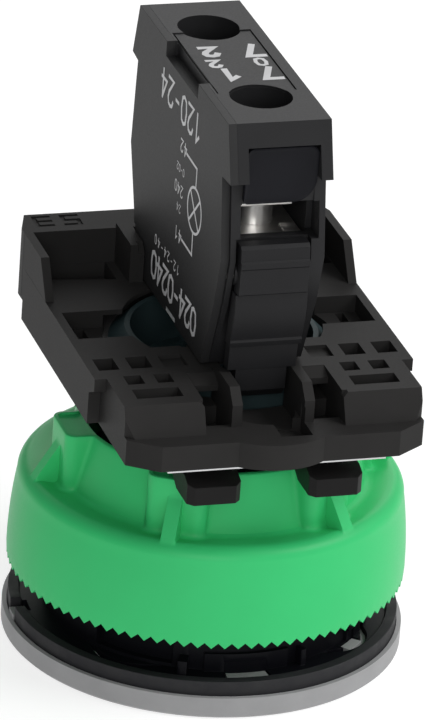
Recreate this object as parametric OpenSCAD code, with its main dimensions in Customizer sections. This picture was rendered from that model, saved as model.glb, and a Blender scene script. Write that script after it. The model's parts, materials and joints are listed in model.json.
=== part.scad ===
// Flush illuminated push button for a 30.5 mm panel cut-out, with its ring nut, mounting
// collar and one light block. The button's front faces down, the terminals face up.
// The origin is the centre of the bezel's front face, and +Z runs back into the cabinet.

/* [Head] */
// Diameter of the front bezel
bezel_d = 37.3; // [37:0.1:37.5]
// Diameter of the head body where it passes through the panel
head_d = 30.0; // [29.8:0.1:30]
// Diameter of the button's cap
cap_d = 26.4; // [25.6:0.2:26.4]
// Length that the button travels when it is pressed
push_travel = 3.8; // [3.2:0.1:4]

/* [Ring nut] */
// Number of teeth that grip the panel
nut_teeth = 94; // [80:1:100]
// Height of one tooth
tooth_h = 0.55; // [0.4:0.05:0.6]
// Number of grip lobes around the nut's neck
nut_lobes = 6; // [4:1:6]

/* [Mounting collar] */
// Width of the collar, three blocks side by side
collar_w = 30.0; // [29.8:0.1:30.2]

/* [Light block] */
// Width of the light block
block_w = 9.53; // [9.4:0.01:9.6]
// Height of the block's top face above the bezel's front face
block_top = 56.13; // [55.8:0.01:56.5]

/* [Terminals] */
// Diameter of a terminal screw's shank
screw_d = 3.5; // [3.3:0.05:3.5]
// Diameter of the holes that let a screwdriver in
access_d = 5.7; // [5.6:0.05:5.8]

/* [Hidden] */

$fn = 96;
eps = 0.01;

// Head
bezel_r = bezel_d / 2;
head_r = head_d / 2;
cap_r = cap_d / 2;
rim_h = 2.1;
front_plate = 1.2;
flange_r = 18.15;
flange_top = 3.1;
gasket_r_in = 17.1;
gasket_top = 3.5;
cavity_r = 13.55;
shoulder_z = 13.0;
tube_r = 10.35;
tube_bore_r = 8.4;
tube_top = 30.6;
guide_r = 7.6;
guide_top = 20.0;
running = 0.08;
lock_groove = [23.0, 25.6];
rib_half = 13.0;
rib_corner = 4.0;
clip_spans = [[-99, -84], [-51, -42], [118, 136]];
tab_span = [175, 180];

// Ring nut
nut_bore_r = head_r + 0.06;
nut_root_z = 7.6;
neck_top = 21.8;

// Collar
half_w = collar_w / 2;
wall = 0.83;
collar_low = 26.1;
deck_z = 31.2;
window_z = 29.5;
collar_bore_r = 10.9;
rear_y = 14.5;

// Block
half_b = block_w / 2;
cover_x = -half_b + 0.765;
screw_front_y = -6.5;
screw_rear_y = 10.1;
plate_top = 44.4;
block_mid_y = (screw_front_y + screw_rear_y) / 2;
latch_y = -12.2;
latch_z = 41.6;

// ---- shared shapes ----

module box(x0, x1, y0, y1, z0, z1) {
    translate([x0, y0, z0])
        cube([x1 - x0, y1 - y0, z1 - z0]);
}

// An outline of [y, z] points, extruded along X from x0 to x1
module side_prism(outline, x0, x1) {
    translate([x0, 0, 0])
        rotate([90, 0, 90])
            linear_extrude(x1 - x0)
                polygon(outline);
}

// An outline of [x, y] points, extruded along Z
module plan_prism(outline, z0, z1) {
    translate([0, 0, z0])
        linear_extrude(z1 - z0)
            polygon(outline);
}

module tube(r_out, r_in, z0, z1) {
    rotate_extrude()
        polygon([[r_in, z0], [r_out, z0], [r_out, z1], [r_in, z1]]);
}

// A sector of a ring between two azimuths
module arc_band(r_out, r_in, z0, z1, a0, a1) {
    rotate([0, 0, a0])
        rotate_extrude(angle = a1 - a0)
            polygon([[r_in, z0], [r_out, z0], [r_out, z1], [r_in, z1]]);
}

module both_sides() {
    children();
    mirror([1, 0, 0])
        children();
}

// Turns a front piece into the rear one of the block
module to_rear() {
    translate([0, 2 * block_mid_y, 0])
        mirror([0, 1, 0])
            children();
}

// ---- head ----

module bezel_ring() {
    edge = 0.3;
    tab_h = 1.4;
    color([0.55, 0.55, 0.55])
        union() {
            rotate_extrude()
                polygon([
                    [cavity_r, 0], [bezel_r - edge, 0], [bezel_r, edge], [bezel_r, rim_h],
                    [flange_r + 0.05, rim_h], [flange_r + 0.05, front_plate],
                    [cavity_r, front_plate]
                ]);
            for (span = clip_spans)
                arc_band(16.4, 15.4, front_plate - eps, flange_top - 0.1,
                         span[0] + 0.6, span[1] - 0.6);
            arc_band(flange_r + 0.1, gasket_r_in + 0.05, front_plate - eps,
                     front_plate + tab_h, tab_span[0], tab_span[1]);
            corner_ribs(0, front_plate - eps, flange_top - 0.5);
        }
}

// Curved ribs on the corners of a rounded square, which key the bezel to the body
module corner_ribs(grow, z0, z1) {
    translate([0, 0, z0])
        linear_extrude(z1 - z0)
            difference() {
                intersection() {
                    rounded_square(rib_half + grow);
                    circle(r = 17 + grow);
                }
                rounded_square(rib_half - 0.4 - grow);
                circle(r = head_r + 0.15 - grow);
            }
}

module rounded_square(half) {
    inner = half - rib_corner;
    square([2 * half, 2 * inner], center = true);
    square([2 * inner, 2 * half], center = true);
    for (sx = [-1, 1], sy = [-1, 1])
        translate([sx * inner, sy * inner])
            circle(r = rib_corner);
}

// Threaded body, from the flange behind the bezel to the tube that the collar clips on
module head_body() {
    step_z = 14.9;
    rim_bevel = 1.4;
    color([0.13, 0.13, 0.14])
        difference() {
            union() {
                rotate_extrude()
                    polygon([
                        [cavity_r, front_plate], [gasket_r_in - 0.05, front_plate],
                        [gasket_r_in - 0.05, flange_top], [head_r, flange_top],
                        [head_r, step_z], [tube_r, step_z + 0.8],
                        [tube_r, tube_top - rim_bevel], [tube_bore_r + 0.5, tube_top],
                        [tube_bore_r, tube_top], [tube_bore_r, guide_top],
                        [guide_r, guide_top], [guide_r, shoulder_z],
                        [cavity_r, shoulder_z]
                    ]);
                body_panels();
            }
            thread_grooves();
            tube(tube_r + 1, tube_r - 0.75, lock_groove[0], lock_groove[1]);
            flange_windows();
            tube(8.6, guide_r - 1, 14.2, 15.4);
        }
}

// Ring grooves that stand for the thread under the nut
module thread_grooves() {
    pitch = 1.5;
    for (k = [0 : 4])
        tube(head_r + 1, head_r - 0.3, 7.9 + k * pitch, 8.5 + k * pitch);
}

// Raised pads that key the head body in its panel hole
module body_panels() {
    arc_band(head_r + 0.35, head_r - 0.5, flange_top - eps, 4.9, -106, -76);
    arc_band(head_r + 1.5, head_r - 0.5, flange_top - eps, 4.5, -114.5, -111.5);
    arc_band(head_r + 0.9, head_r - 0.5, flange_top - eps, 4.7, -72, -70);
    arc_band(head_r + 0.5, head_r - 0.5, flange_top - eps, 4.6, -46, -28);
    arc_band(head_r + 0.5, head_r - 0.5, flange_top - eps, 4.6, 60, 92);
}

// Slots in the flange for the bezel's clips and ribs, and shallow recesses in the body
module flange_windows() {
    for (span = clip_spans)
        arc_band(16.5, 15.3, 0, flange_top + 1, span[0], span[1]);
    corner_ribs(0.05, 0, flange_top + 1);
    arc_band(head_r + 1, 14.2, flange_top + 0.3, 6.4, -147, -117);
    arc_band(head_r + 1, 14.2, flange_top + 0.3, 6.4, 20, 44);
    arc_band(gasket_r_in + 1, 16.6, front_plate + 0.6, 4, 174, 181);
}

// Seal between the bezel and the panel, with its notch for the locating tab
module panel_gasket() {
    color([0.10, 0.10, 0.11])
        difference() {
            rotate_extrude()
                polygon([
                    [gasket_r_in, front_plate], [flange_r, front_plate],
                    [flange_r, gasket_top], [gasket_r_in + 0.1, gasket_top],
                    [gasket_r_in, gasket_top - 0.1]
                ]);
            arc_band(flange_r + 1, gasket_r_in - 1, 0, 5, tab_span[0] - 0.4,
                     tab_span[1] + 0.4);
        }
}

// Lip seal around the pusher's stem
module shaft_seal() {
    color([0.16, 0.16, 0.17])
        tube(8.55, guide_r - 0.03, 14.25, 15.35);
}

// ---- button ----

module lens_cap() {
    face_z = 0.25;
    skirt = 1.0;
    color([0.92, 0.93, 0.90])
        rotate_extrude()
            polygon([
                [0, face_z], [cap_r - 0.5, face_z], [cap_r, face_z + 0.5], [cap_r, 5.0],
                [cap_r - skirt, 5.0], [cap_r - skirt, 1.9], [0, 1.9]
            ]);
}

// Stem that joins the cap to the contact blocks
module pusher() {
    stem_r = guide_r - running;
    stem_bore = 6.3;
    lug_z = guide_top + 0.08;
    flange_gap = 1.1;
    stem_top = tube_top - push_travel - 0.3;
    color([0.13, 0.15, 0.16])
        difference() {
            union() {
                tube(cap_r - flange_gap, stem_bore, 3.4, 4.9);
                tube(stem_r, stem_bore, 1.95, stem_top);
                for (k = [0 : 3])
                    arc_band(tube_bore_r - 0.2, stem_bore + 0.4, lug_z, lug_z + 1.2,
                             k * 90 + 35, k * 90 + 55);
            }
            for (k = [0 : 3])
                rotate([0, 0, k * 90])
                    box(-1.6, 1.6, -12, -4, 21.8, 27);
        }
}

// Clear rod that carries the lamp's light to the cap
module light_guide() {
    color([0.85, 0.9, 0.92])
        rotate_extrude()
            polygon([
                [0, 2.0], [6.25, 2.0], [6.25, 3.2], [3.6, 7.0], [3.2, 21.5], [0, 22.4]
            ]);
}

// Helical spring between the pusher's flange and the body's shoulder
module return_spring() {
    wire_r = 0.4;
    coil_r = 10.9;
    turns = 4;
    steps = 22;
    sides = 8;
    low = 4.95 + wire_r;
    high = shoulder_z - 0.05 - wire_r;
    count = turns * steps;
    ring = [for (i = [0 : count], j = [0 : sides - 1])
        let (a = 360 * i / steps, b = 360 * j / sides, r = coil_r + wire_r * cos(b))
        [r * cos(a), r * sin(a), low + (high - low) * i / count + wire_r * sin(b)]
    ];
    skin = [for (i = [0 : count - 1], j = [0 : sides - 1])
        let (k = (j + 1) % sides)
        [i * sides + j, (i + 1) * sides + j, (i + 1) * sides + k, i * sides + k]
    ];
    caps = [
        [for (j = [0 : sides - 1]) j],
        [for (j = [sides - 1 : -1 : 0]) count * sides + j]
    ];
    color([0.75, 0.75, 0.76])
        polyhedron(points = ring, faces = concat(skin, caps), convexity = 8);
}

// ---- ring nut ----

module ring_nut() {
    color([0.22, 0.75, 0.45])
        difference() {
            union() {
                nut_shell();
                for (k = [0 : nut_lobes - 1])
                    rotate([0, 0, 360 / nut_lobes * k])
                        nut_lobe();
                nut_tooth_ring();
            }
            for (k = [0 : nut_lobes - 1])
                rotate([0, 0, 360 / nut_lobes * k])
                    box(11.6, 13.9, -2.0, 2.0, 16.4, neck_top + 1);
        }
}

module nut_shell() {
    rotate_extrude()
        polygon([
            [nut_bore_r, nut_root_z], [16.2, nut_root_z], [16.2, 13.2], [17.4, 13.2],
            [17.55, nut_root_z], [18.53, nut_root_z],
            [18.5, 9], [18.44, 10.5], [18.32, 12], [18.15, 13.5], [17.98, 14.8],
            [17.82, 15.5], [17.55, 16.05], [17.2, 16.4], [16.7, 16.6], [16.1, 16.6],
            [15.3, 16.45], [14.3, 16.5], [13.9, 16.9], [13.6, 17.8], [13.15, neck_top],
            [12.1, neck_top], [12.3, 16.3], [nut_bore_r, 15.4]
        ]);
}

// A hollow grip lobe on the neck, with the rib that braces it on the shoulder
module nut_lobe() {
    half = 2.9;
    difference() {
        box(12.5, 14.9, -half, half, 16.3, neck_top);
        for (s = [-1, 1])
            translate([14.9, s * half, 15])
                rotate([0, 0, 45])
                    cube([0.7, 0.7, 16], center = true);
    }
    rotate([0, 0, 180])
        mirror([1, 0, 0])
            translate([0, 0.6, 0])
                rotate([90, 0, 0])
                    linear_extrude(1.2)
                        polygon([[14.0, 16.0], [17.2, 16.0], [17.15, 16.5], [14.9, 19.2],
                                 [14.0, 19.2]]);
}

module nut_tooth_ring() {
    pitch = 360 / nut_teeth;
    half = 18.5 * sin(pitch / 2);
    for (k = [0 : nut_teeth - 1])
        rotate([0, 0, k * pitch])
            side_prism([[-half, nut_root_z + 0.05], [half, nut_root_z + 0.05],
                        [0, nut_root_z - tooth_h]], 17.6, 18.48);
}

// ---- mounting collar ----

module collar_body() {
    color([0.15, 0.15, 0.15])
        difference() {
            union() {
                collar_box();
                both_sides() {
                    collar_boss();
                    collar_pillar();
                    clip_rib();
                }
                collar_lip();
            }
            collar_hollow();
            both_sides() {
                deck_window();
                deck_pockets();
                boss_slots();
                bay_pocket();
                rear_slot();
            }
            tongue_recess();
            lip_pocket();
        }
}

// Deck with its two stepped side walls and the raised rear block
module collar_box() {
    both_sides()
        side_prism([
            [-8.9, collar_low], [13.9, collar_low], [14.0, 28.0], [15.6, 28.0],
            [15.6, 34.6], [8.8, 34.6], [6.4, deck_z], [-10.5, deck_z], [-10.5, 30.0],
            [-8.9, 29.2]
        ], half_w - wall, half_w - eps);
    box(-half_w, half_w, -8.9, 14.0, collar_low, deck_z);
    side_prism([[-10.5, deck_z], [-10.5, 30.0], [-8.9, 29.2], [-8.8, deck_z]],
               -half_w, half_w);
    difference() {
        plan_prism([[-half_w, rear_y], [half_w, rear_y], [half_w, 15.6], [14.0, 18.55],
                    [-14.0, 18.55], [-half_w, 15.6]], 28.0, 34.6);
        size_mark();
    }
    box(-half_w + 0.1, half_w - 0.1, 13.0, rear_y + eps, 28.0, deck_z - eps);
}

// Recessed number on the rear block, read from the rear
module size_mark() {
    for (mark = [[-9.0, [0, 1, 2, 4, 5]], [-11.7, [0, 1, 2, 4, 6]]])
        translate([mark[0], 18.1, 34.45])
            rotate([0, 0, 180])
                linear_extrude(1)
                    digit_strokes(mark[1]);
}

// Strokes: 0 to 2 lower, middle and upper bar, then the lower left, lower right,
// upper left and upper right uprights
module digit_strokes(strokes) {
    wide = 1.8;
    high = 2.4;
    pen = 0.42;
    bars = [
        [0, 0, wide, pen], [0, (high - pen) / 2, wide, pen], [0, high - pen, wide, pen],
        [0, 0, pen, high / 2], [wide - pen, 0, pen, high / 2],
        [0, high / 2, pen, high / 2], [wide - pen, high / 2, pen, high / 2]
    ];
    for (k = strokes)
        translate([bars[k][0], bars[k][1]])
            square([bars[k][2], bars[k][3]]);
}

// Front corner block beside the clip bay
module collar_boss() {
    difference() {
        side_prism([[-8.9, 26.05], [-17.7, 26.05], [-17.7, 28.5], [-16.4, deck_z],
                    [-8.9, deck_z]], 6.5, 13.9);
        translate([13.9, -17.7, 30])
            rotate([0, 0, 45])
                cube([1.1, 1.1, 10], center = true);
        translate([6.5, -17.2, 31.4])
            rotate([0, 45, 0])
                cube([0.9, 2.6, 0.9], center = true);
    }
}

// Front lip with the bulge over the latch
module collar_lip() {
    plan_prism([[-13.9, -12], [-13.9, -17.7], [-11.1, -19.6], [11.1, -19.6],
                [13.9, -17.7], [13.9, -12]], 26.05, 28.5);
    translate([0, 0, 26.05])
        linear_extrude(2.45)
            intersection() {
                translate([0, -14.2])
                    circle(r = 6.7);
                translate([-5, -22])
                    square([10, 8]);
            }
    box(-6.6, 6.6, -17.7, -8.9, 26.05, 28.5);
}

module collar_pillar() {
    difference() {
        box(half_b + 0.08, 6.18, 9.5, rear_y + 0.2, deck_z - eps, 35.0);
        translate([4, 9.5, 35.0])
            rotate([45, 0, 0])
                cube([3, 1.2, 1.2], center = true);
    }
}

// Upright rib that guides the latch's tongue
module clip_rib() {
    side_prism([[-9.5, 27], [-16.5, 27], [-16.5, 30.6], [-15.2, 31.9], [-11.9, 31.9],
                [-9.5, deck_z]], 2.9, 3.85);
    side_prism([[-8.8, 29.6], [-10.45, 29.6], [-11.9, 30.0], [-11.9, 30.6],
                [-10.45, 31.2], [-8.8, 31.2]], 3.5, 6.55);
}

// Space below the deck, the bore over the head's tube and the deck's round opening
module collar_hollow() {
    difference() {
        both_sides()
            box(-eps, half_w - wall - 0.05, -7.7, 13.4, collar_low - 1, window_z - 1.2);
        translate([0, 0, 20])
            cylinder(r = collar_bore_r + 1.3, h = 20);
        both_sides()
            box(11, 15, 8.4, 9.4, 20, 40);
    }
    translate([0, 0, 20])
        cylinder(r = collar_bore_r, h = tube_top + 0.1 - 20);
    translate([0, 0, 20])
        intersection() {
            cylinder(r = 9.25, h = 20);
            translate([-10, -4.6, 0])
                cube([20, 30, 20]);
        }
}

// Side window where a contact block's plunger reaches the pusher
module deck_window() {
    box(6.0, half_w - wall - 0.02, -1.9, 3.9, window_z, deck_z + 1);
    box(12.1, 12.9, 1.8, 3.7, window_z - 0.9, window_z + 1);
}

module deck_pockets() {
    box(5.8, 8.0, -8.75, -6.35, tube_top + 0.2, deck_z + 1);
    for (span = [[9.1, 11.05], [12.2, 14.1]])
        box(span[0], span[1], -8.75, -6.35, deck_z - 1.9, deck_z + 1);
    box(4.75, 5.3, -4.9, -2.5, deck_z - 1.6, deck_z + 1);
}

module boss_slots() {
    box(8.0, 9.5, -12.0, -10.2, deck_z - 1.8, deck_z + 1);
    box(10.7, 12.3, -12.0, -10.2, deck_z - 1.8, deck_z + 1);
    box(8.0, 12.3, -15.0, -13.1, deck_z - 2.2, deck_z + 1);
}

// Dark pocket between a rib and a boss
module bay_pocket() {
    box(3.85, 6.5, -15.9, -11.9, 26.8, deck_z + 1);
}

module rear_slot() {
    plan_prism([[7.1, 10.5], [14.1, 11.3], [14.1, 14.45], [7.1, 14.45]],
               deck_z - 1.5, deck_z + 0.6);
}

// Pocket in the lip in front of the latch's tongue
module lip_pocket() {
    box(0.1, 3.0, -19.1, -15.5, 27.2, 30);
}

// Curved recess that takes the tongue of the latch
module tongue_recess() {
    box(-2.9, 2.9, -13.6, -8.0, 27.4, deck_z + 2);
    translate([0, -13.6, 27.4])
        cylinder(r = 2.9, h = 6);
}

// ---- collar lock ----

// Crescent that locks in the tube's groove, with the two feet that a finger pushes
module lock_yoke() {
    crescent_back = -6.2;
    color([0.15, 0.15, 0.15])
        union() {
            translate([0, 0, 23.3])
                linear_extrude(2.0)
                    difference() {
                        intersection() {
                            circle(r = 12.4);
                            translate([-14, -14])
                                square([28, 14 + crescent_back]);
                        }
                        circle(r = 9.75);
                    }
            both_sides() {
                lock_foot();
                box(3.5, 7.9, -14.2, -10.4, 23.4, 25.2);
                translate([8.7, -7.6, 25.2])
                    cylinder(r = 0.6, h = 0.25);
            }
        }
}

module lock_foot() {
    foot_low = 22.15;
    difference() {
        side_prism([[-19.0, foot_low], [-19.0, 23.9], [-17.4, 24.5], [-12.7, 24.5],
                    [-12.7, 23.6], [-15.2, foot_low]], 3.2, 8.2);
        for (x = [3.2, 8.2])
            translate([x, -19.0, 23])
                rotate([0, 0, 45])
                    cube([0.8, 0.8, 6], center = true);
    }
}

module lock_plate() {
    low = 25.45;
    high = 25.95;
    color([0.78, 0.78, 0.78])
        union() {
            difference() {
                union() {
                    box(-10.2, 10.2, -18.7, -9, low, high);
                    box(-12.4, 12.4, -11, -4.4, low, high);
                    box(-13.8, 13.8, -4.41, 5, low, high);
                }
                translate([0, 0, low - 1])
                    cylinder(r = 10.95, h = 3);
                box(-10.95, 10.95, 0, 8, low - 1, high + 1);
            }
            both_sides()
                box(13.3, 13.8, -4.4, 5, low, 27.9);
        }
}

// ---- light block ----

// Side outline shared by the housing and its cover
// proud moves the walls below the lip out from the cover's own
function block_outline(proud) = [
    [-9.0, 31.45], [-11.7 - proud, 38.5], [-12.9 - proud, 43.2], [-12.0 - proud, 48.4],
    [-11.6 - proud, 50.8], [-14.15, 51.0], [-12.4, block_top], [16.1, block_top],
    [17.55, 51.0], [15.7 + proud, 50.8], [15.9 + proud, 48.4], [16.3 + proud, 42.5],
    [13.9, 36.5], [12.7, 31.45]
];

module block_housing() {
    color([0.24, 0.24, 0.25])
        difference() {
            side_prism(block_outline(0.4), cover_x, half_b);
            block_cavity();
            terminal_bay();
            to_rear()
                terminal_bay();
            label_recess();
            light_port();
            side_notch();
            latch_seat();
            rear_foot_notch();
        }
}

// Space for the board and the lamp, open towards the cover
module block_cavity() {
    box(cover_x - 1, half_b - 0.9, -7.6, 11.4, 32.8, 42.9);
    box(cover_x - 1, half_b - 0.9, -1.6, 5.3, 42.8, 54.4);
    box(2.3, 3.0, -7.1, -5.5, 42.8, plate_top);
    to_rear()
        box(2.3, 3.0, -7.1, -5.5, 42.8, plate_top);
}

// Opening for the wire, the clamp and the screw of one terminal
module terminal_bay() {
    low = plate_top - 0.8;
    translate([0, screw_front_y, 39.6])
        cylinder(d = screw_d + 0.5, h = 10);
    translate([0, screw_front_y, 47.6])
        cylinder(d = access_d + 0.5, h = 2.3);
    translate([0, screw_front_y, 49])
        cylinder(d = access_d, h = 20);
    box(-3.1, 3.65, -10.6, -3.4, low, 48.3);
    box(-3.1, 4.2, -16, -10.5, plate_top + 0.5, 48.3);
    box(-3.0, 3.7, -16, -12.2, 48.2, 54.0);
    box(-2.6, 3.6, -11.1, -9, low, plate_top + 0.6);
}

module label_recess() {
    box(-3.75, 3.68, -5.4, 9.06, block_top - 0.3, block_top + 1);
}

// Hole that lets the lamp's light out at the bottom
module light_port() {
    translate([0, 0, 30])
        cylinder(r = 3.0, h = 4);
    light_tab_slot();
}

module light_tab_slot() {
    box(-half_b - 1, -2, -0.7, 2.6, 31.0, 32.05);
}

// Step in the upper edge where the block's voltage is marked
module side_notch() {
    box(-half_b - 1, -3.65, -3.0, 7.2, 54.7, block_top + 1);
}

// Room for the lever and its pin at the front
module latch_seat() {
    box(-3.5, 3.5, -16, -10.4, 30, 43.4);
    box(-3.5, 3.5, -16, -12.0, 43.3, 45.2);
    translate([cover_x - eps, latch_y, latch_z])
        rotate([0, 90, 0])
            cylinder(r = 0.47, h = 8.35);
}

module rear_foot_notch() {
    box(-6, 6, 13.2, 20, 30, 35.4);
}

module block_side_cover() {
    color([0.25, 0.25, 0.26])
        difference() {
            side_prism(block_outline(0), -half_b, cover_x);
            side_notch();
            light_tab_slot();
            rear_foot_notch();
        }
}

module top_label() {
    color([0.22, 0.22, 0.23])
        difference() {
            box(-3.55, 3.6, -5.3, 8.96, block_top - 0.29, block_top - 0.1);
            for (y = [screw_front_y, screw_rear_y])
                translate([0, y, block_top - 1])
                    cylinder(d = access_d + 0.2, h = 2);
        }
}

// Clear plug in the light port, with a side tab that shows in the cover
module light_window() {
    color([0.88, 0.9, 0.92])
        union() {
            translate([0, 0, 31.5])
                cylinder(r = 2.95, h = 1.4);
            translate([0, 0, 32.82])
                cylinder(r = 3.5, h = 0.7);
            box(-half_b + 0.1, -2, -0.6, 2.5, 31.5, 31.95);
        }
}

module circuit_board() {
    color([0.1, 0.35, 0.2])
        union() {
            box(-3.2, -2.2, -7.2, 11.0, 34.4, 42.5);
            box(-3.2, -2.2, -1.2, 4.9, 42.4, 53.9);
        }
}

module led_lamp() {
    color([0.95, 0.95, 0.9])
        union() {
            translate([0, 0, 36.2])
                cylinder(r = 1.9, h = 3.4);
            translate([0, 0, 36.2])
                sphere(r = 1.9);
            for (y = [-0.6, 0.6])
                translate([-2.15, y, 38.8])
                    rotate([0, 90, 0])
                        cylinder(r = 0.22, h = 1.6);
        }
}

module resistors() {
    color([0.75, 0.65, 0.45])
        for (y = [6.4, 9.55])
            translate([-0.9, y, 34.9]) {
                cylinder(r = 0.95, h = 4.6);
                translate([0, 0, -0.6])
                    cylinder(r = 0.25, h = 5.8);
                for (z = [-0.35, 4.95])
                    translate([-1.3, 0, z])
                        rotate([0, 90, 0])
                            cylinder(r = 0.25, h = 1.3);
            }
}

module front_contact_strip() {
    color([0.8, 0.65, 0.35])
        strip_shape();
}

module rear_contact_strip() {
    color([0.8, 0.65, 0.35])
        to_rear()
            strip_shape();
}

// The strip climbs from the board's edge beside the screw's shank to the plate
module strip_shape() {
    box(2.4, 2.9, -7.0, -4.2, 36.0, 42.7);
    box(2.4, 2.9, -7.0, -5.6, 42.6, plate_top - 0.76);
    box(-2.15, 2.9, -4.7, -4.2, 36.0, 37.2);
}

// Moulded hood above a terminal that guides the wire
module wire_funnel() {
    difference() {
        box(-2.95, 3.65, -12.9, -12.25, 48.4, 53.9);
        translate([3.65, -13, 48.4])
            rotate([0, 45, 0])
                cube([2.2, 3, 2.2], center = true);
    }
}

module front_wire_funnel() {
    color([0.14, 0.14, 0.16])
        wire_funnel();
}

module rear_wire_funnel() {
    color([0.14, 0.14, 0.16])
        to_rear()
            wire_funnel();
}

// Fixed plate that the wire is clamped on, with its grip serrations
module terminal_plate() {
    low = plate_top - 0.75;
    difference() {
        union() {
            box(-2.5, 3.5, -11.0, -3.6, low, plate_top);
            for (k = [0 : 2])
                side_prism([[-10.8 + k * 0.9, plate_top - eps],
                            [-10.0 + k * 0.9, plate_top - eps],
                            [-10.4 + k * 0.9, plate_top + 0.25]], 1.9, 3.3);
        }
        translate([0, screw_front_y, low - 1])
            cylinder(d = screw_d + 0.1, h = 3);
    }
}

module front_terminal_plate() {
    color([0.75, 0.73, 0.7])
        terminal_plate();
}

module rear_terminal_plate() {
    color([0.75, 0.73, 0.7])
        to_rear()
            terminal_plate();
}

// Clamp washer that the screw carries down onto the wire
module clamp_washer() {
    difference() {
        box(-2.7, 2.7, -9.4, -3.7, 46.75, 47.45);
        translate([0, screw_front_y, 46])
            cylinder(d = screw_d + 0.1, h = 3);
    }
}

module front_clamp_washer() {
    color([0.75, 0.73, 0.7])
        clamp_washer();
}

module rear_clamp_washer() {
    color([0.75, 0.73, 0.7])
        to_rear()
            clamp_washer();
}

// Pan head screw with a combined slot and cross recess
module terminal_screw() {
    head_low = 47.5;
    head_h = 2.0;
    color([0.78, 0.77, 0.75])
        translate([0, screw_front_y, 0])
            difference() {
                union() {
                    translate([0, 0, 42.2])
                        cylinder(d = screw_d, h = head_low - 42.2 + eps);
                    rotate_extrude()
                        polygon([[0, head_low], [2.7, head_low], [2.7, head_low + 1.2],
                                 [2.2, head_low + head_h], [0, head_low + head_h]]);
                }
                box(-3, 3, -0.35, 0.35, head_low + 1.0, head_low + 4);
                box(-0.35, 0.35, -1.6, 1.6, head_low + 0.7, head_low + 4);
            }
}

module front_terminal_screw() {
    terminal_screw();
}

module rear_terminal_screw() {
    to_rear()
        terminal_screw();
}

// ---- latch ----

// Sprung lever that holds the block on the collar
module latch_lever() {
    color([0.15, 0.15, 0.155])
        difference() {
            union() {
                side_prism([[-13.5, 44.8], [-13.85, 44.5], [-13.95, 43.4], [-14.15, 43.25],
                            [-14.15, 42.75], [-14.03, 42.6], [-14.0, 40.2],
                            [-13.7, 40.0], [-12.4, 40.0], [-12.4, 44.8]], -3.2, 3.2);
                side_prism([[-13.6, 40.05], [-13.7, 38.6], [-13.3, 36.6], [-12.87, 35.3],
                            [-13.0, 35.1], [-12.85, 34.6], [-11.4, 34.6],
                            [-12.0, 37.5], [-12.4, 40.05]], -3.35, 3.35);
                side_prism([[-12.5, 34.7], [-12.25, 32.1], [-11.0, 32.1],
                            [-11.2, 34.7]], -3.2, 3.2);
                side_prism([[-12.2, 32.6], [-12.1, 29.9], [-11.3, 29.0], [-10.9, 29.4],
                            [-10.9, 32.6]], -2.4, 2.4);
                translate([-3.42, latch_y, latch_z])
                    rotate([0, 90, 0])
                        cylinder(r = 1.0, h = 6.84);
            }
            translate([-4, latch_y, latch_z])
                rotate([0, 90, 0])
                    cylinder(r = 0.5, h = 8);
        }
}

module latch_pin() {
    color([0.7, 0.7, 0.72])
        translate([cover_x + 0.05, latch_y, latch_z])
            rotate([0, 90, 0])
                cylinder(r = 0.45, h = 8.2);
}

bezel_ring();
head_body();
panel_gasket();
shaft_seal();
lens_cap();
pusher();
light_guide();
return_spring();
ring_nut();
collar_body();
lock_yoke();
lock_plate();
block_housing();
block_side_cover();
top_label();
light_window();
circuit_board();
led_lamp();
resistors();
front_contact_strip();
rear_contact_strip();
front_wire_funnel();
rear_wire_funnel();
front_terminal_plate();
rear_terminal_plate();
front_clamp_washer();
rear_clamp_washer();
front_terminal_screw();
rear_terminal_screw();
latch_lever();
latch_pin();
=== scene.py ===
"""Looks of the panel push button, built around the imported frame. Outlines are in millimetres."""
import json
import math

import bmesh
import bpy
from mathutils import Matrix, Vector


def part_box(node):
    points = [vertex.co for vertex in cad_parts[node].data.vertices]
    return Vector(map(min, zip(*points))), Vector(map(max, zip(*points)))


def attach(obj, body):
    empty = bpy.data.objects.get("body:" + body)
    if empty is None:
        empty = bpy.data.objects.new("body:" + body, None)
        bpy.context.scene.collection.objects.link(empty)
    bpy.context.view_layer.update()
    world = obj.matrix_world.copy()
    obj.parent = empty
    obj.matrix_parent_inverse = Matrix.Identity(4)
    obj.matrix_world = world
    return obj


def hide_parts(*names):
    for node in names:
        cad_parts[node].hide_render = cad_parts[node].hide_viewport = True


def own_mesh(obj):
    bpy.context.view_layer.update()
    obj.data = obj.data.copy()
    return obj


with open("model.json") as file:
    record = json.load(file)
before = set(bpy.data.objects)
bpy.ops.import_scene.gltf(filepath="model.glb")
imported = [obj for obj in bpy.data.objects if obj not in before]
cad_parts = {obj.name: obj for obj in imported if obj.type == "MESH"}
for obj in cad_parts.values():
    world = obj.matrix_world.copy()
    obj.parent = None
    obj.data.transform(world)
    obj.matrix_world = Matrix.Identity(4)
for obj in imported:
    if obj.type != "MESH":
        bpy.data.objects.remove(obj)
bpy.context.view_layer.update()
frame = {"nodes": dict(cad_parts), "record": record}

MM = 0.001
nodes = frame["nodes"]


# ---- helpers: meshes ----

def add_object(name, mesh, body, look):
    """Links a finished mesh as one piece that rides on a body, in one of the materials."""
    piece = bpy.data.objects.new(name, mesh)
    bpy.context.scene.collection.objects.link(piece)
    mesh.materials.append(MATERIALS[look])
    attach(piece, body)
    return piece


def mesh_from(name, points, faces):
    """A mesh from points in millimetres."""
    mesh = bpy.data.meshes.new(name)
    mesh.from_pydata([[c * MM for c in p] for p in points], [], faces)
    mesh.update()
    return mesh


def cad_box(node):
    """A CAD node's lowest and highest corner in millimetres."""
    return [[c / MM for c in corner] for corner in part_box(node)]


def shade_smooth(mesh, angle_deg=35):
    """Smooth shading, with the edges sharper than the angle kept sharp."""
    mesh.polygons.foreach_set("use_smooth", [True] * len(mesh.polygons))
    mesh.set_sharp_from_angle(angle=math.radians(angle_deg))


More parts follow.
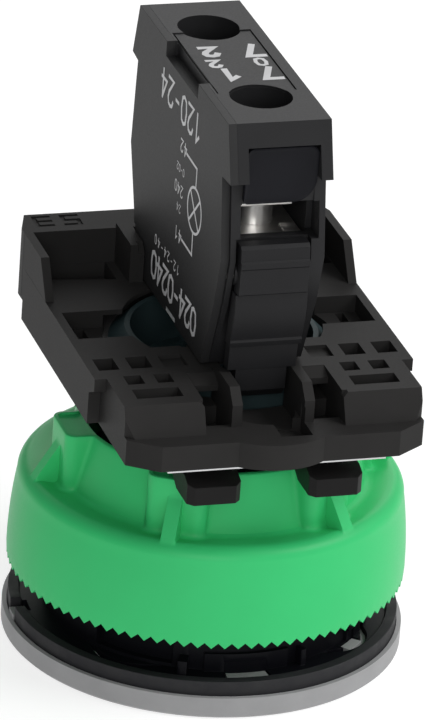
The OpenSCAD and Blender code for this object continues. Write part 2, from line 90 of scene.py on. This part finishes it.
def loft(name, rings, capped=False):
    """A skin through closed rings of points, with end caps or the last ring joined to the first."""
    count = len(rings[0])
    rows = len(rings)
    faces = []
    for i in range(rows - 1 if capped else rows):
        j = (i + 1) % rows
        for k in range(count):
            m = (k + 1) % count
            faces.append((i * count + k, i * count + m, j * count + m, j * count + k))
    if capped:
        faces.append(tuple(range(count)))
        faces.append(tuple(range((rows - 1) * count, rows * count)))
    mesh = mesh_from(name, [point for ring in rings for point in ring], faces)
    outward = bmesh.new()
    outward.from_mesh(mesh)
    bmesh.ops.recalc_face_normals(outward, faces=outward.faces)
    outward.to_mesh(mesh)
    outward.free()
    return mesh


def mix(a, b, t):
    """The point a share t of the way from a to b."""
    return tuple(u + (v - u) * t for u, v in zip(a, b))


def resample(points, count):
    """The same line with count equal steps."""
    lengths = [0.0]
    for a, b in zip(points, points[1:]):
        lengths.append(lengths[-1] + math.dist(a, b))
    line = []
    k = 0
    for step in range(count + 1):
        place = lengths[-1] * step / count
        while k < len(points) - 2 and lengths[k + 1] < place:
            k += 1
        span = lengths[k + 1] - lengths[k]
        line.append(mix(points[k], points[k + 1], (place - lengths[k]) / span))
    return line


def arc(centre, radius, start_deg, end_deg, steps):
    """Points of a circular arc in an outline."""
    angles = [math.radians(start_deg + (end_deg - start_deg) * k / steps)
              for k in range(steps + 1)]
    return [(centre[0] + radius * math.cos(a), centre[1] + radius * math.sin(a))
            for a in angles]


# ---- helpers: materials ----

def map_range(tree, source, low, high, out_low, out_high):
    """A node that maps low to high onto out_low to out_high."""
    node = tree.nodes.new("ShaderNodeMapRange")
    for key, value in zip(("From Min", "From Max", "To Min", "To Max"),
                          (low, high, out_low, out_high)):
        node.inputs[key].default_value = value
    tree.links.new(source, node.inputs["Value"])
    return node.outputs["Result"]


class Nodes:
    """A short way to write a material's node graph."""

    def __init__(self, name):
        self.material = bpy.data.materials.new(name)
        self.material.use_nodes = True
        self.tree = self.material.node_tree
        self.shader = self.tree.nodes["Principled BSDF"]
        self.place = self.add("ShaderNodeTexCoord").outputs["Object"]

    def add(self, kind, **settings):
        """A new node with its settings."""
        node = self.tree.nodes.new(kind)
        for key, value in settings.items():
            setattr(node, key, value)
        return node

    def link(self, source, target):
        """Joins an output to an input."""
        self.tree.links.new(source, target)

    def noise(self, scale, detail=3.0, roughness=0.6):
        """Cloudy noise over the object's own space; scale is per metre."""
        node = self.add("ShaderNodeTexNoise")
        node.inputs["Scale"].default_value = scale
        node.inputs["Detail"].default_value = detail
        node.inputs["Roughness"].default_value = roughness
        self.link(self.place, node.inputs["Vector"])
        return node.outputs["Fac"]

    def ramp(self, source, low, high, out_low, out_high):
        """The source with low to high mapped onto out_low to out_high."""
        return map_range(self.tree, source, low, high, out_low, out_high)

    def mix(self, factor, first, second):
        """A colour between two colours."""
        node = self.add("ShaderNodeMix", data_type="RGBA")
        self.link(factor, node.inputs["Factor"])
        node.inputs["A"].default_value = (*first, 1)
        node.inputs["B"].default_value = (*second, 1)
        return node.outputs["Result"]

    def bump(self, *layers):
        """Each layer is (height, strength, distance in millimetres)."""
        normal = None
        for height, strength, distance in layers:
            node = self.add("ShaderNodeBump")
            node.inputs["Strength"].default_value = strength
            node.inputs["Distance"].default_value = distance * MM
            self.link(height, node.inputs["Height"])
            if normal is not None:
                self.link(normal, node.inputs["Normal"])
            normal = node.outputs["Normal"]
        self.link(normal, self.shader.inputs["Normal"])


def shade(colour, factor):
    """The colour, lighter or darker by the factor."""
    return tuple(min(1.0, c * factor) for c in colour)


def moulded_plastic(name, colour, rough=0.45, grain=1.0, speculars=0.2, tint=0.06):
    """Moulded plastic: spark-eroded grain, faint flow marks and uneven gloss."""
    n = Nodes(name)
    cloud = n.noise(260, 4)
    grain_fine = n.noise(5200, 2)
    grain_wide = n.noise(1500, 3)
    n.link(n.mix(n.ramp(cloud, 0.3, 0.7, 0, 1), shade(colour, 1 - tint), shade(colour, 1 + tint)),
           n.shader.inputs["Base Color"])
    n.link(n.ramp(grain_fine, 0.3, 0.7, rough - 0.03, rough + 0.04),
           n.shader.inputs["Roughness"])
    n.bump((grain_fine, 0.2 * grain, 0.008), (grain_wide, 0.08 * grain, 0.012))
    n.shader.inputs["Specular IOR Level"].default_value = speculars
    return n.material


# Heights between which the head's black blends into a lighter teal on the tube: painted light for
# the shaded inside of the recess
TUBE_LOW = 22.0
TUBE_HIGH = 26.0


def head_plastic(name, colour, painted_tube_light):
    """The head's black plastic, blended by height into a lighter teal on the tube behind the panel:
    painted light that brightens the shaded recess.
    """
    material = moulded_plastic(name, colour, 0.45, speculars=0.1)
    tree = material.node_tree
    shader = tree.nodes["Principled BSDF"]
    place = tree.nodes.new("ShaderNodeSeparateXYZ")
    tree.links.new(tree.nodes["Texture Coordinate"].outputs["Object"], place.inputs["Vector"])
    # Painted light: towards the tube the colour turns a lighter teal, brightening the shaded inside
    # of the recess
    share = map_range(tree, place.outputs["Z"], TUBE_LOW * MM, TUBE_HIGH * MM, 0, 1)
    blend = tree.nodes.new("ShaderNodeMix")
    blend.data_type = "RGBA"
    tree.links.new(share, blend.inputs["Factor"])
    tree.links.new(shader.inputs["Base Color"].links[0].from_socket, blend.inputs["A"])
    blend.inputs["B"].default_value = (*painted_tube_light, 1)
    tree.links.new(blend.outputs["Result"], shader.inputs["Base Color"])
    return material


def plated_metal(name, colour, rough=0.3, lines=(40, 900, 900)):
    """Plated metal: fine drawn lines and a slightly stained surface."""
    n = Nodes(name)
    stretch = n.add("ShaderNodeMapping")
    stretch.inputs["Scale"].default_value = lines
    n.link(n.place, stretch.inputs["Vector"])
    brush = n.add("ShaderNodeTexNoise")
    brush.inputs["Scale"].default_value = 6
    brush.inputs["Detail"].default_value = 4
    n.link(stretch.outputs["Vector"], brush.inputs["Vector"])
    stain = n.noise(420, 4)
    n.link(n.mix(n.ramp(stain, 0.3, 0.75, 0, 1), shade(colour, 0.86), colour),
           n.shader.inputs["Base Color"])
    n.link(n.ramp(brush.outputs["Fac"], 0.3, 0.7, rough - 0.08, rough + 0.1),
           n.shader.inputs["Roughness"])
    n.bump((brush.outputs["Fac"], 0.1, 0.01))
    n.shader.inputs["Metallic"].default_value = 1.0
    return n.material


def rubber(name, colour):
    """Matt moulded rubber with a powdery bloom."""
    n = Nodes(name)
    bloom = n.noise(700, 5)
    n.link(n.mix(n.ramp(bloom, 0.35, 0.7, 0, 1), shade(colour, 0.85), shade(colour, 1.25)),
           n.shader.inputs["Base Color"])
    n.link(n.ramp(bloom, 0.3, 0.7, 0.62, 0.8), n.shader.inputs["Roughness"])
    n.bump((n.noise(3800, 3), 0.3, 0.015))
    return n.material


def clear_plastic(name, colour, clear):
    """Clear or milky moulded plastic."""
    n = Nodes(name)
    haze = n.noise(900, 3)
    n.link(n.mix(n.ramp(haze, 0.3, 0.7, 0, 1), shade(colour, 0.96), colour),
           n.shader.inputs["Base Color"])
    n.link(n.ramp(haze, 0.3, 0.7, 0.12, 0.2), n.shader.inputs["Roughness"])
    n.bump((haze, 0.05, 0.01))
    n.shader.inputs["Transmission Weight"].default_value = clear
    n.shader.inputs["IOR"].default_value = 1.49
    return n.material


MATERIALS = {
    "bezel_grey": moulded_plastic("bezel_grey", (0.28, 0.28, 0.285), 0.45),
    # head_black's second colour is painted light: a lighter teal on the shaded tube inside the
    # recess
    "head_black": head_plastic("head_black", (0.004, 0.004, 0.006), (0.024, 0.040, 0.043)),
    "gasket_rubber": rubber("gasket_rubber", (0.004, 0.004, 0.006)),
    "seal_rubber": rubber("seal_rubber", (0.012, 0.012, 0.013)),
    "lens": clear_plastic("lens", (0.85, 0.87, 0.85), 0.35),
    "pusher_black": moulded_plastic("pusher_black", (0.020, 0.036, 0.039), 0.4),
    "clear_plastic": clear_plastic("clear_plastic", (0.9, 0.93, 0.94), 0.3),
    "spring_steel": plated_metal("spring_steel", (0.62, 0.62, 0.63), 0.3),
    "nut_green": moulded_plastic("nut_green", (0.035, 0.50, 0.155), 0.40, 0.4, tint=0.015),
    "collar_black": moulded_plastic("collar_black", (0.0245, 0.0238, 0.0234), 0.5, speculars=0.045),
    "lock_black": moulded_plastic("lock_black", (0.0085, 0.0080, 0.0080), 0.45, speculars=0.12),
    "plated_steel": plated_metal("plated_steel", (0.66, 0.66, 0.67), 0.35),
    "block_black": moulded_plastic("block_black", (0.0145, 0.0145, 0.0155), 0.5),
    "cover_black": moulded_plastic("cover_black", (0.0210, 0.0210, 0.0215), 0.55),
    "label_black": moulded_plastic("label_black", (0.0160, 0.0160, 0.0170), 0.5),
    "funnel_black": moulded_plastic("funnel_black", (0.0068, 0.0070, 0.0095), 0.45, speculars=0.12),
    "terminal_metal": plated_metal("terminal_metal", (0.9, 0.88, 0.85), 0.36),
    "screw_steel": plated_metal("screw_steel", (0.96, 0.95, 0.93), 0.40, (900, 900, 60)),
    "strip_brass": plated_metal("strip_brass", (0.66, 0.47, 0.18), 0.3),
    "board_green": moulded_plastic("board_green", (0.01, 0.07, 0.03), 0.35),
    "led_white": clear_plastic("led_white", (0.88, 0.88, 0.8), 0.3),
    "resistor_beige": moulded_plastic("resistor_beige", (0.45, 0.3, 0.14), 0.35),
    "latch_black": moulded_plastic("latch_black", (0.0100, 0.0100, 0.0110), 0.45),
    "print_white": moulded_plastic("print_white", (0.60, 0.60, 0.61), 0.6, 0.3),
}


# ---- ring nut ----

NUT_TEETH = 94
NUT_LOBES = 6
TOOTH_COLUMNS = 6
NUT_COLUMNS = TOOTH_COLUMNS * NUT_TEETH
TOOTH_ROOT_Z = 7.6
TOOTH_H = 0.55
SKIRT_R = 18.53
SKIRT_LEAN = 0.62
SKIRT_LOW = TOOTH_ROOT_Z + 0.4
SKIRT_H = 7.2
SHOULDER_CENTRE = (16.58, 15.26)
SHOULDER_R = 1.34
SHOULDER_Z = 16.59
SHOULDER_DIP = 0.4
NECK_BASE_Z = 16.9
NECK_TOP_Z = 21.8
NECK_TOP_R = 12.72
NECK_FLARE = 1.3
NECK_BORE_R = 12.05
LOBE_HALF = 2.85
LOBE_FRONT = 14.9
LOBE_CORNER = 1.05
LOBE_LEAST_CORNER = 0.2
LOBE_FOOT = 0.3
RIB_HALF = 0.66
RIB_COLUMNS = 3
RIB_LOW = (17.25, 16.4)
RIB_HIGH = (14.9, 20.1)

# The underside as (r, z): the bore, the hollow between bore and skirt, and the skirt's inside
NUT_BORE = [(NECK_BORE_R + 0.05, NECK_TOP_Z - 0.25), (NECK_BORE_R, NECK_TOP_Z - 0.3), (12.3, 16.3)]
NUT_HOLLOW = [(15.06, 15.4), (15.06, TOOTH_ROOT_Z + 0.1), (15.16, TOOTH_ROOT_Z),
              (16.1, TOOTH_ROOT_Z), (16.2, TOOTH_ROOT_Z + 0.1), (16.2, 13.1), (16.35, 13.2),
              (17.25, 13.2), (17.4, 13.1), (17.55, 8.0)]
NUT_TEETH_R = (17.6, 18.48)


def turn_about_z(x, y, angle):
    """A point of an outline turned about the Z axis."""
    c = math.cos(angle)
    s = math.sin(angle)
    return (x * c - y * s, x * s + y * c)


def turned(r, z, tooth=0.0):
    """A ring of the nut's round skirt; tooth is how far its teeth reach down."""
    start = -math.pi / NUT_LOBES
    ring = []
    for k in range(NUT_COLUMNS):
        angle = start + 2 * math.pi * k / NUT_COLUMNS
        point = 1 - abs((k % TOOTH_COLUMNS) / (TOOTH_COLUMNS / 2) - 1)
        ring.append((r * math.cos(angle), r * math.sin(angle), z - tooth * point))
    return ring


def half_lobe(inset, z):
    """The neck's outline from the middle of a gap to the middle of a lobe."""
    down = (NECK_TOP_Z - z) / (NECK_TOP_Z - NECK_BASE_Z)
    neck = NECK_TOP_R + NECK_FLARE * down - inset
    half = LOBE_HALF - inset
    front = LOBE_FRONT - inset
    corner = max(LOBE_LEAST_CORNER, LOBE_CORNER - inset)
    foot = LOBE_FOOT + inset
    reach = math.sqrt((neck + foot) ** 2 - (half + foot) ** 2)
    turn = math.degrees(math.atan2(half + foot, reach))
    outline = arc((0, 0), neck, 180 / NUT_LOBES, turn, 8)
    outline += arc((reach, half + foot), foot, turn + 180, 270, 6)[1:]
    outline += arc((front - corner, half - corner), corner, 90, 0, 8)
    outline.append((front, 0))
    return resample(outline, NUT_COLUMNS // NUT_LOBES // 2)


def neck_ring(inset, z):
    """A ring of the nut's neck, with its lobes."""
    half = half_lobe(inset, z)
    sector = [(x, -y) for x, y in half] + half[-2:0:-1]
    ring = []
    for lobe in range(NUT_LOBES):
        angle = 2 * math.pi * lobe / NUT_LOBES
        ring += [(*turn_about_z(x, y, angle), z) for x, y in sector]
    return ring


def add_ribs(rings):
    """Pulls the middle columns of each lobe out to a rib that braces it on the shoulder."""
    per_lobe = NUT_COLUMNS // NUT_LOBES
    for i, ring in enumerate(rings):
        r, z = mix(RIB_LOW, RIB_HIGH, i / (len(rings) - 1))
        for lobe in range(NUT_LOBES):
            angle = 2 * math.pi * lobe / NUT_LOBES
            middle = per_lobe * lobe + per_lobe // 2
            for step in range(-RIB_COLUMNS, RIB_COLUMNS + 1):
                y = RIB_HALF * step / RIB_COLUMNS
                ring[middle + step] = (*turn_about_z(r, y, angle), z)


def build_ring_nut():
    """The toothed ring nut: skirt, shoulder, and a thin neck with grip lobes whose tops dip a
    little inside their rims.
    """
    skirt = [turned(SKIRT_R - SKIRT_LEAN * t ** 2, SKIRT_LOW + SKIRT_H * t)
             for t in (k / 10 for k in range(11))]
    corner = [turned(r, z) for r, z in arc(SHOULDER_CENTRE, SHOULDER_R, 8, 84, 9)]
    base = neck_ring(0, NECK_BASE_Z)
    shoulder = []
    for t in (0.2, 0.4, 0.6, 0.78, 0.9, 0.96):
        z = SHOULDER_Z - SHOULDER_DIP * t + SHOULDER_DIP * max(0, t - 0.7) ** 2 / 0.09
        shoulder.append([mix(a, b, t)[:2] + (z,) for a, b in zip(corner[-1], base)])
    neck = [neck_ring(0, z) for z in (16.9, 17.2, 17.6, 18.1, 18.6, 19.1, 19.6, 20.1)]
    add_ribs(corner[6:] + shoulder + neck)
    rim = [neck_ring(0, z) for z in (20.6, 21.2, 21.65)]
    rim += [neck_ring(0.04, 21.76), neck_ring(0.12, NECK_TOP_Z)]
    rim += [neck_ring(0.4, NECK_TOP_Z), neck_ring(0.46, NECK_TOP_Z - 0.2)]
    inside = [turned(r, z) for r, z in NUT_BORE + NUT_HOLLOW]
    teeth = [turned(r, TOOTH_ROOT_Z, TOOTH_H) for r in NUT_TEETH_R]
    mesh = loft("nut_shape", skirt + corner + shoulder + neck + rim + inside + teeth)
    shade_smooth(mesh, 40)
    piece = add_object("nut_shell", mesh, "nut", "nut_green")
    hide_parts("ring_nut")


# ---- return spring ----

WIRE_R = 0.4
SPRING_TURNS = 4
TURN_STEPS = 36
WIRE_SIDES = 12


def build_spring():
    """The coil spring behind the cap, which rides on the button."""
    low, high = cad_box("return_spring")
    coil_r = high[0] - WIRE_R
    height = high[2] - low[2]
    steps = SPRING_TURNS * TURN_STEPS
    rings = []
    for i in range(steps + 1):
        angle = 2 * math.pi * i / TURN_STEPS
        middle = low[2] + WIRE_R + (height - 2 * WIRE_R) * i / steps
        ring = []
        for j in range(WIRE_SIDES):
            turn = 2 * math.pi * j / WIRE_SIDES
            r = coil_r + WIRE_R * math.cos(turn)
            ring.append((r * math.cos(angle), r * math.sin(angle),
                         middle + WIRE_R * math.sin(turn)))
        rings.append(ring)
    mesh = loft("spring_shape", rings, capped=True)
    shade_smooth(mesh, 60)
    piece = add_object("spring_coil", mesh, "button", "spring_steel")
    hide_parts("return_spring")
    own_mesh(piece)


# ---- hoods over the terminals ----

HOOD_FACE_Y = -12.45
HOOD_BACK_Y = -12.2
BLOCK_MIDDLE_Y = 1.8

# Lowest corner, highest corner and corner radii of a hood's outline and of its flat face
HOOD_OUTLINE = ((-2.95, 48.42), (3.65, 53.9), (0.4, 2.0, 0.8, 0.6))
HOOD_FLAT = ((-2.45, 49.0), (1.9, 53.2), (0.4, 1.3, 0.6, 0.4))

# How far the rim stands forward low down, how much more it does high up, and where that starts
RIM_DEPTH = 0.2
RIM_EXTRA = 0.45
RIM_EXTRA_Z = 49.5
RIM_EXTRA_H = 1.5


def rounded_box(low, high, radii):
    """A rectangle's outline with its own radius at each corner, from the lowest one round."""
    corners = [(low[0], low[1]), (high[0], low[1]), (high[0], high[1]), (low[0], high[1])]
    points = []
    for k, (x, z) in enumerate(corners):
        r = radii[k]
        centre = (x + r if k in (0, 3) else x - r, z + r if k in (0, 1) else z - r)
        points += arc(centre, r, 180 + 90 * k, 270 + 90 * k, 8)
    return points


def hood_rings():
    """Rings of a hood: a flat face that curves forward into a rim, and a flat back."""
    outer = rounded_box(*HOOD_OUTLINE)
    inner = rounded_box(*HOOD_FLAT)
    rings = []
    for s in (0, 0.25, 0.5, 0.7, 0.85, 0.95, 1):
        rise = 1 - math.sqrt(1 - s * s)
        ring = []
        for a, b in zip(inner, outer):
            x, z = mix(a, b, s)
            depth = RIM_DEPTH + RIM_EXTRA * min(1, max(0, (z - RIM_EXTRA_Z) / RIM_EXTRA_H))
            ring.append((x, HOOD_FACE_Y - depth * rise, z))
        rings.append(ring)
    rings.append([(x, HOOD_BACK_Y, z) for x, z in outer])
    return rings


def build_hoods():
    """The dark hoods over both wire entries; the rear one is the front one turned round."""
    front = hood_rings()
    rear = [[(-x, 2 * BLOCK_MIDDLE_Y - y, z) for x, y, z in ring] for ring in front]
    for name, rings in (("front", front), ("rear", rear)):
        mesh = loft(name + "_hood_shape", rings, capped=True)
        shade_smooth(mesh, 40)
        piece = add_object(name + "_hood", mesh, "frame", "funnel_black")
        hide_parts(name + "_wire_funnel")


# ---- printed marks ----

# How far a print stands off its surface, and how much higher each next stroke lies
PRINT_LIFT = 0.012
STROKE_LIFT = 0.2

# A stroke's corner is drawn out to a point of at most this many half widths
LONGEST_MITRE = 2

# Strokes of each digit in a box one unit high and 0.6 wide
DIGITS = {
    "0": [[(0.3, 1), (0.08, 0.9), (0, 0.5), (0.08, 0.1), (0.3, 0), (0.52, 0.1), (0.6, 0.5),
           (0.52, 0.9), (0.3, 1)]],
    "1": [[(0.08, 0.75), (0.36, 1), (0.36, 0)]],
    "2": [[(0.02, 0.78), (0.1, 0.94), (0.3, 1), (0.5, 0.94), (0.58, 0.74), (0.5, 0.52),
           (0, 0), (0.6, 0)]],
    "4": [[(0.44, 0), (0.44, 1)], [(0.44, 1), (0, 0.3), (0.6, 0.3)]],
    "7": [[(0.02, 1), (0.58, 1), (0.2, 0)]],
    "-": [[(0.15, 0.5), (0.45, 0.5)]],
}


def ribbon(points, pen):
    """Both edges of a flat stroke of width pen along a line, which may be closed."""
    last = len(points) - 1
    closed = math.dist(points[0], points[last]) < pen / 10
    sides = []
    for k, point in enumerate(points):
        before = points[last - 1 if closed and k == 0 else max(0, k - 1)]
        after = points[1 if closed and k == last else min(last, k + 1)]
        first = Vector(point) - Vector(before)
        second = Vector(after) - Vector(point)
        first = (first if first.length else second).normalized()
        second = (second if second.length else first).normalized()
        along = (first + second).normalized()
        across = Vector((-along.y, along.x))
        half = pen / 2 / max(1 / LONGEST_MITRE, along.dot(first))
        ends = 0.0
        if not closed and k in (0, last):
            ends = pen / 2 if k else -pen / 2
        centre = Vector(point) + along * ends
        sides.append((centre + across * half, centre - across * half))
    return sides


def add_print(name, strokes, pen, corner, right, up):
    """Printed strokes, given flat, on the plane through corner spanned by right and up."""
    corner = Vector(corner)
    right = Vector(right)
    up = Vector(up)
    points = []
    faces = []
    for layer, stroke in enumerate(strokes):
        lift = right.cross(up) * PRINT_LIFT * (1 + STROKE_LIFT * layer)
        sides = ribbon(stroke, pen)
        for k, (left_side, right_side) in enumerate(sides):
            for flat in (left_side, right_side):
                points.append(corner + right * flat.x + up * flat.y + lift)
            if k:
                n = len(points)
                faces.append((n - 3, n - 1, n - 2, n - 4))
    mesh = mesh_from(name, points, faces)
    add_object(name, mesh, "frame", "print_white")


def text_strokes(text, high, pitch):
    """Strokes of a row of digits."""
    strokes = []
    for place, letter in enumerate(text):
        for line in DIGITS.get(letter, []):
            strokes.append([(pitch * place + x * high, y * high) for x, y in line])
    return strokes


SIDE = {"right": (0, 1, 0), "up": (0, 0, -1)}
LABEL = {"right": (-1, 0, 0), "up": (0, -1, 0)}

# Name, text, height, pitch, stroke width, and the first digit's (y, z)
SIDE_ROWS = [
    ("print_range", "120-24", 2.6, 2.12, 0.34, (-4.3, 53.3)),
    ("print_mark_two", "42", 1.15, 1.15, 0.17, (-0.9, 49.2)),
    ("print_current", "0-02", 0.7, 0.62, 0.09, (-0.6, 46.7)),
    ("print_type", "240", 1.05, 0.9, 0.13, (-0.5, 44.9)),
    ("print_volts", "24", 0.75, 0.7, 0.09, (-0.2, 43.0)),
    ("print_mark_one", "41", 1.15, 1.15, 0.17, (-0.9, 40.7)),
    ("print_line", "12-24-40", 0.9, 1.02, 0.12, (-0.9, 37.3)),
    ("print_name", "024-0240", 2.5, 1.82, 0.4, (-6.9, 35.5)),
]
LAMP_PLACE = (-4.3, 44.35)
LAMP_R = 2.12
LAMP_PEN = 0.26
LAMP_LEADS = [[(0, -LAMP_R), (0, -4.05), (3.3, -4.15)], [(0, LAMP_R), (-0.1, 4.3), (3.1, 4.2)]]

# Name, digit, height, stroke width, and its (x, y)
LABEL_ROWS = [
    ("label_front_left", "7", 2.5, 0.62, (3.2, 0.1)),
    ("label_front_right", "1", 2.3, 0.62, (-0.6, 0.1)),
    ("label_middle_left", "0", 1.6, 0.36, (2.9, 2.35)),
    ("label_middle_right", "2", 1.55, 0.45, (-1.45, 2.35)),
    ("label_rear_left", "7", 2.5, 0.62, (3.2, 5.5)),
    ("label_rear_right", "2", 2.0, 0.62, (-0.95, 5.4)),
]


def build_side_prints():
    """Digits and the lamp symbol on the cover, which read with the cap facing up."""
    x = cad_box("block_side_cover")[0][0]
    for name, text, high, pitch, pen, (y, z) in SIDE_ROWS:
        add_print(name, text_strokes(text, high, pitch), pen, (x, y, z), **SIDE)
    ring = arc((0, 0), LAMP_R, 0, 360, 48)
    ends = [(LAMP_R * math.cos(a), LAMP_R * math.sin(a)) for a in (math.pi / 4, -math.pi / 4)]
    crosses = [[(a, b), (-a, -b)] for a, b in ends]
    add_print("print_lamp", [ring] + crosses + LAMP_LEADS, LAMP_PEN, (x, *LAMP_PLACE), **SIDE)


def build_label_prints():
    """Digits on the top label, beside the screw holes."""
    z = cad_box("top_label")[1][2]
    for name, text, high, pen, (x, y) in LABEL_ROWS:
        add_print(name, text_strokes(text, high, 1), pen, (x, y, z), **LABEL)


# ---- CAD nodes that keep their shape ----

# Points closer than the gap are one point, faces within the flat angle are one face, and edges
# sharper than the edge angle are rounded. Angles are in degrees.
WELD_GAP = 0.002
FLAT_ANGLE = 0.6
EDGE_ANGLE = 32

# How wide each visible node's rounded edges are
EDGE_WIDTHS = {
    "bezel_ring": 0.08, "head_body": 0.08, "panel_gasket": 0.08, "collar_body": 0.12,
    "lock_yoke": 0.18, "lock_plate": 0.06, "block_housing": 0.03,
    "block_side_cover": 0.03, "front_terminal_plate": 0.06, "rear_terminal_plate": 0.06,
    "front_clamp_washer": 0.08, "rear_clamp_washer": 0.08, "front_terminal_screw": 0.05,
    "rear_terminal_screw": 0.05, "latch_lever": 0.16, "pusher": 0.08,
}


def soften(node, width_mm):
    """Rounds the sharp edges of a CAD node with modifiers, once its flat faces are joined."""
    weld = node.modifiers.new("weld", "WELD")
    weld.merge_threshold = WELD_GAP * MM
    flat = node.modifiers.new("flat", "DECIMATE")
    flat.decimate_type = "DISSOLVE"
    flat.angle_limit = math.radians(FLAT_ANGLE)
    bevel = node.modifiers.new("round", "BEVEL")
    bevel.width = width_mm * MM
    bevel.segments = 2
    bevel.limit_method = "ANGLE"
    bevel.angle_limit = math.radians(EDGE_ANGLE)
    bevel.harden_normals = True
    bevel.miter_outer = "MITER_ARC"
    bevel.use_clamp_overlap = True
    normals = node.modifiers.new("normals", "WEIGHTED_NORMAL")
    normals.keep_sharp = True
    normals.weight = 100
    node.data.polygons.foreach_set("use_smooth", [True] * len(node.data.polygons))


def dress_cad_nodes():
    """Gives every CAD node its slot's material, and softens the visible ones."""
    slots = {s["node"]: s["material_slot"] for s in frame["record"]["subparts"]}
    for name, node in nodes.items():
        node.data.materials.clear()
        node.data.materials.append(MATERIALS[slots[name]])
        if name in EDGE_WIDTHS:
            soften(node, EDGE_WIDTHS[name])


# ---- stage, lights and camera ----

FLOOR_HALF = 2000
FLOOR_Z = -0.02
FLOOR_DARK = 0.39
FLOOR_PALE = 0.41
FLOOR_GLOW = 0.7

SKY_LEFT = 0.15
SKY_RIGHT = 0.6

# Name, place and target in metres, width in metres, power in watts
LIGHT_TARGET = (0, 0, 0.03)
LIGHTS = [
    ("key", (0.63, -0.30, 0.74), LIGHT_TARGET, 0.6, 5.8),
    ("back", (0.36, 1.1, 0.53), LIGHT_TARGET, 1.0, 3.2),
    ("front", (-0.26, -0.86, 0.42), LIGHT_TARGET, 0.5, 2.6),
]

# The camera looks at the target from this distance, in millimetres and degrees
CAMERA_TARGET = (0, 1.86, 26.43)
CAMERA_DISTANCE = 590.6
CAMERA_AZIMUTH = 251.83
CAMERA_ELEVATION = 24.57
CAMERA_ROLL = 4.09
CAMERA_LENS = 321.2
CAMERA_SHIFT = (-0.0005, 0.0001)


def build_stage():
    """A pale floor that glows a little, just below the button's face."""
    corners = [(-FLOOR_HALF, -FLOOR_HALF), (FLOOR_HALF, -FLOOR_HALF),
               (FLOOR_HALF, FLOOR_HALF), (-FLOOR_HALF, FLOOR_HALF)]
    mesh = mesh_from("floor", [(x, y, FLOOR_Z) for x, y in corners], [(0, 1, 2, 3)])
    floor = bpy.data.objects.new("floor", mesh)
    bpy.context.scene.collection.objects.link(floor)
    n = Nodes("floor_pale")
    n.link(n.mix(n.ramp(n.noise(3, 3), 0.3, 0.7, 0, 1), [FLOOR_DARK] * 3, [FLOOR_PALE] * 3),
           n.shader.inputs["Base Color"])
    n.shader.inputs["Roughness"].default_value = 0.9
    n.shader.inputs["Emission Color"].default_value = (1, 1, 1, 1)
    n.shader.inputs["Emission Strength"].default_value = FLOOR_GLOW
    mesh.materials.append(n.material)


def add_area(name, place, target, size, power):
    """A round soft light in watts, size metres across, which faces the target."""
    light = bpy.data.lights.new(name, "AREA")
    light.shape = "DISK"
    light.size = size
    light.energy = power
    lamp = bpy.data.objects.new(name, light)
    lamp.location = place
    direction = Vector(target) - Vector(place)
    lamp.rotation_euler = direction.to_track_quat("-Z", "Y").to_euler()
    bpy.context.scene.collection.objects.link(lamp)


def build_lights():
    """A sky that is brighter on the right, a key light, and two weaker ones."""
    world = bpy.data.worlds.new("studio")
    bpy.context.scene.world = world
    world.use_nodes = True
    tree = world.node_tree
    background = tree.nodes["Background"]
    place = tree.nodes.new("ShaderNodeTexCoord")
    axes = tree.nodes.new("ShaderNodeSeparateXYZ")
    tree.links.new(place.outputs["Generated"], axes.inputs["Vector"])
    level = map_range(tree, axes.outputs["X"], -1, 1, SKY_LEFT, SKY_RIGHT)
    tree.links.new(level, background.inputs["Color"])
    background.inputs["Strength"].default_value = 1.0
    for light in LIGHTS:
        add_area(*light)


def build_camera():
    """A long lens that sees the terminals' side, from 25 degrees above."""
    data = bpy.data.cameras.new("camera")
    camera = bpy.data.objects.new("camera", data)
    bpy.context.scene.collection.objects.link(camera)
    azimuth = math.radians(CAMERA_AZIMUTH)
    elevation = math.radians(CAMERA_ELEVATION)
    outward = Vector((math.cos(elevation) * math.cos(azimuth),
                      math.cos(elevation) * math.sin(azimuth), math.sin(elevation)))
    place = (Vector(CAMERA_TARGET) + outward * CAMERA_DISTANCE) * MM
    level = (-outward).to_track_quat("-Z", "Y").to_matrix().to_4x4()
    roll = Matrix.Rotation(math.radians(CAMERA_ROLL), 4, "Z")
    camera.matrix_world = Matrix.Translation(place) @ level @ roll
    data.sensor_fit = "AUTO"
    data.sensor_width = 36.0
    data.lens = CAMERA_LENS
    data.shift_x, data.shift_y = CAMERA_SHIFT
    data.clip_start = 0.01
    bpy.context.scene.camera = camera


build_camera()
dress_cad_nodes()
build_ring_nut()
build_spring()
build_hoods()
build_side_prints()
build_label_prints()
build_stage()
build_lights()
bpy.context.scene.view_settings.view_transform = "Standard"
